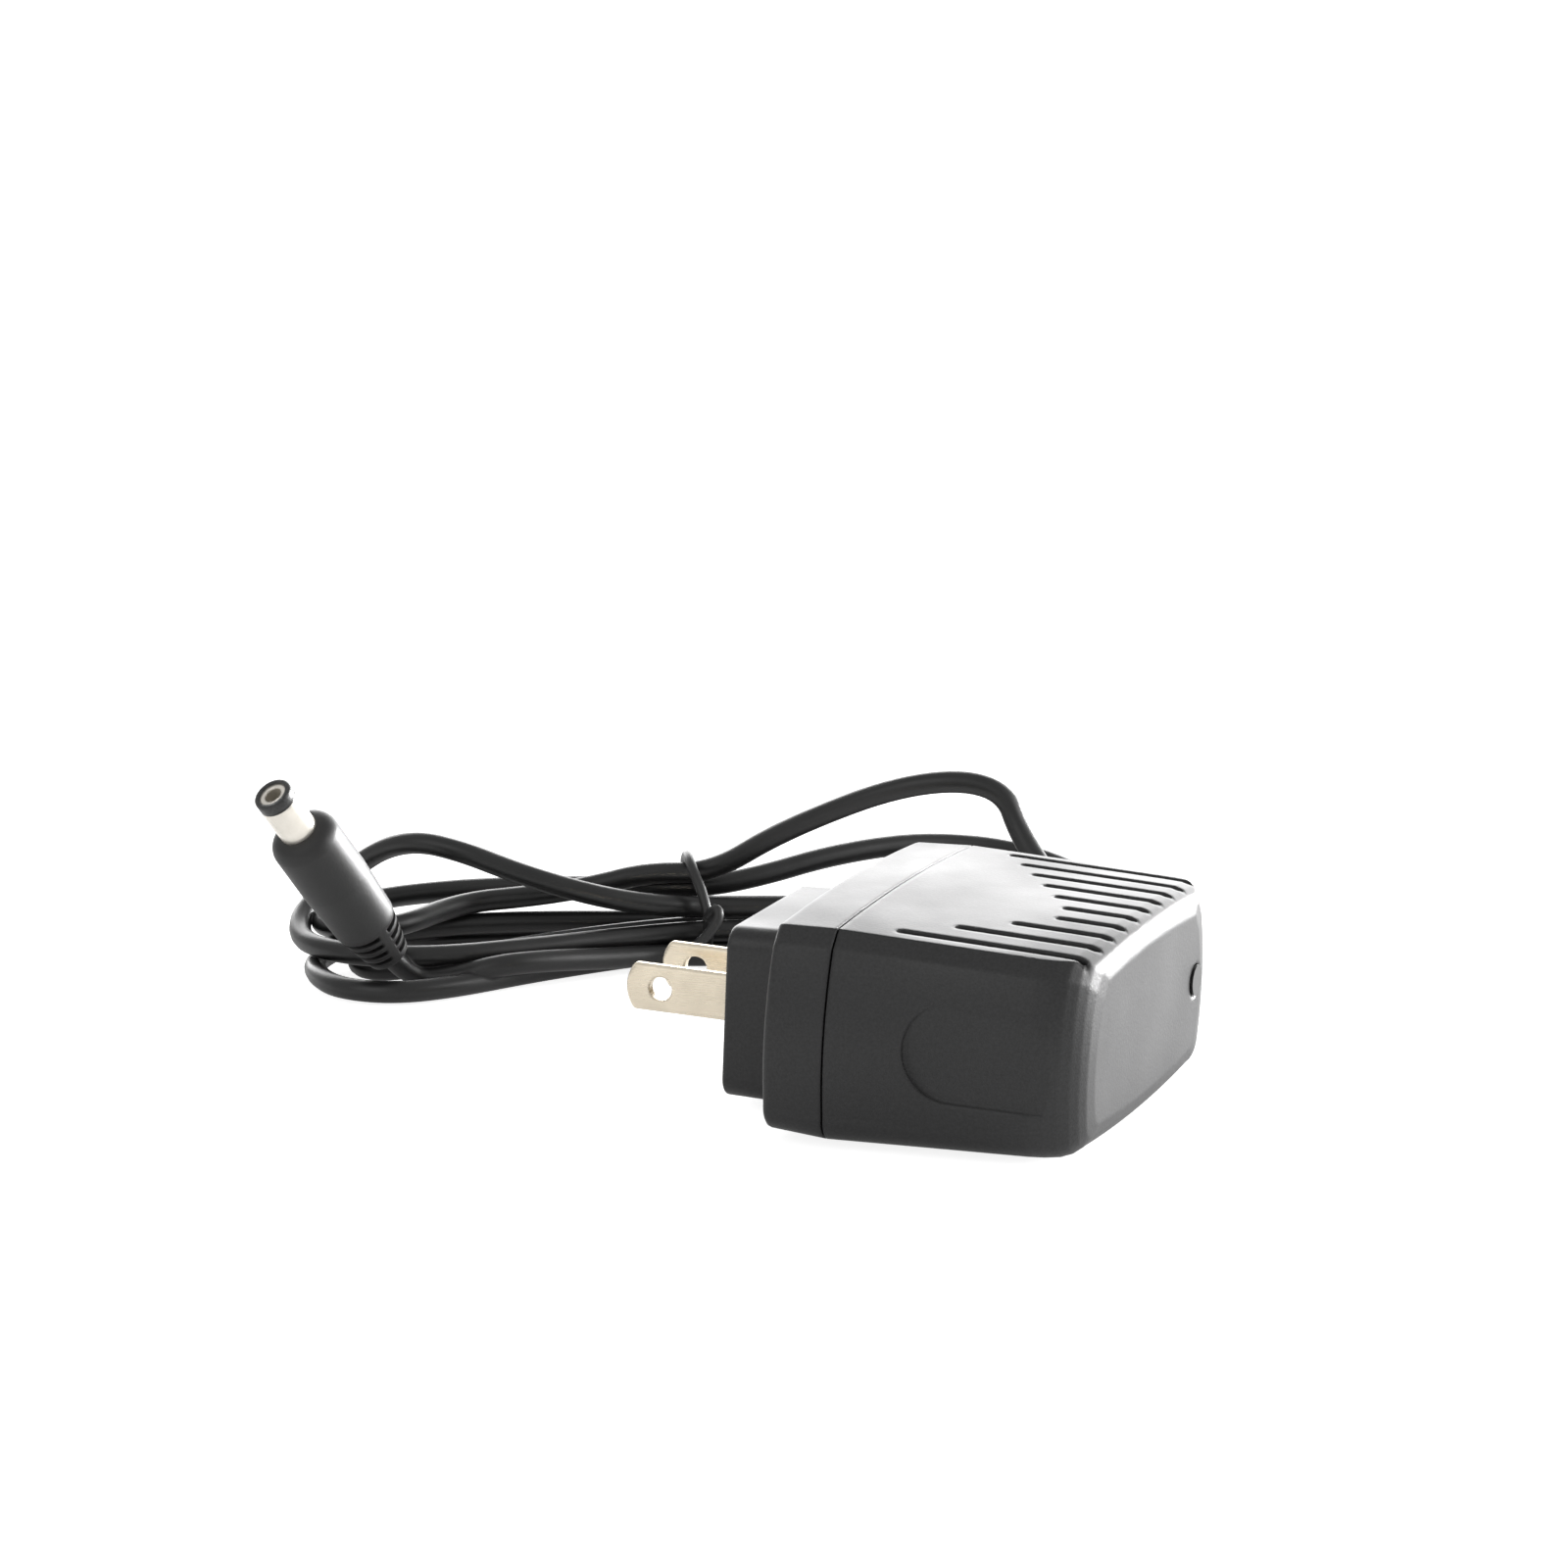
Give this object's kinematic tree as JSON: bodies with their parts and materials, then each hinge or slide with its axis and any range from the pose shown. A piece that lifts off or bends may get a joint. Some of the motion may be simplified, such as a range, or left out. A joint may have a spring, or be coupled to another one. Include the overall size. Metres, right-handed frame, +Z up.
{
  "type": "power adapter",
  "caption": "Wall-plug power adapter with flat blades, a vented two-part housing, an indicator, a coiled cord held by a twist tie and a barrel plug.",
  "frame": {"origin": "middle of the base under the adapter body, where it lies on the table", "axes": "+X from the blades to the closed end of the housing, +Y towards the side that the cord leaves, +Z up"},
  "size_m": [0.1456, 0.1366, 0.0347],
  "materials": {
    "housing_plastic": "fine grained moulded black plastic",
    "blade_metal": "plated brass, satin",
    "barrel_metal": "nickel plated, satin",
    "plug_rubber": "moulded black elastomer, matt",
    "cord_jacket": "smooth black vinyl",
    "insulator_plastic": "black, smooth",
    "board_laminate": "phenolic laminate",
    "ferrite": "ground ferrite",
    "bobbin_plastic": "black phenolic",
    "winding_tape": "polyester tape",
    "choke_wire": "enamelled copper",
    "capacitor_sleeve": "shrunk sleeve",
    "epoxy_black": "moulded epoxy",
    "resistor_body": "coated ceramic",
    "disc_coating": "dipped blue coating",
    "sink_metal": "plain sheet",
    "lead_jacket": "wire insulation",
    "tinned_wire": "tinned",
    "lens_plastic": "smoked clear plastic",
    "tie_coating": "coated wire"
  },
  "bodies": {
    "root": {"rear_housing": "housing_plastic", "front_cover": "housing_plastic", "blade_near": "blade_metal", "blade_far": "blade_metal", "circuit_board": "board_laminate", "transformer_core": "ferrite", "transformer_bobbin": "bobbin_plastic", "transformer_winding": "winding_tape", "input_capacitor_left": "capacitor_sleeve", "input_capacitor_right": "capacitor_sleeve", "output_capacitor_left": "capacitor_sleeve", "output_capacitor_right": "capacitor_sleeve", "bridge_rectifier": "epoxy_black", "fuse_resistor": "resistor_body", "input_choke": "ferrite", "choke_winding": "choke_wire", "safety_capacitor": "disc_coating", "control_chip": "epoxy_black", "optocoupler": "epoxy_black", "heat_sink": "sink_metal", "output_diode": "epoxy_black", "input_lead_near": "lead_jacket", "input_lead_far": "lead_jacket", "indicator_lens": "lens_plastic", "indicator_lead": "tinned_wire", "strain_relief": "plug_rubber", "plug_overmould": "plug_rubber", "plug_sleeve": "barrel_metal", "plug_insulator": "insulator_plastic", "plug_contact": "barrel_metal", "cord_hank": "cord_jacket", "twist_tie": "tie_coating", "cord_from_adapter": "cord_jacket", "cord_to_plug": "cord_jacket"}
  },
  "joints": []
}
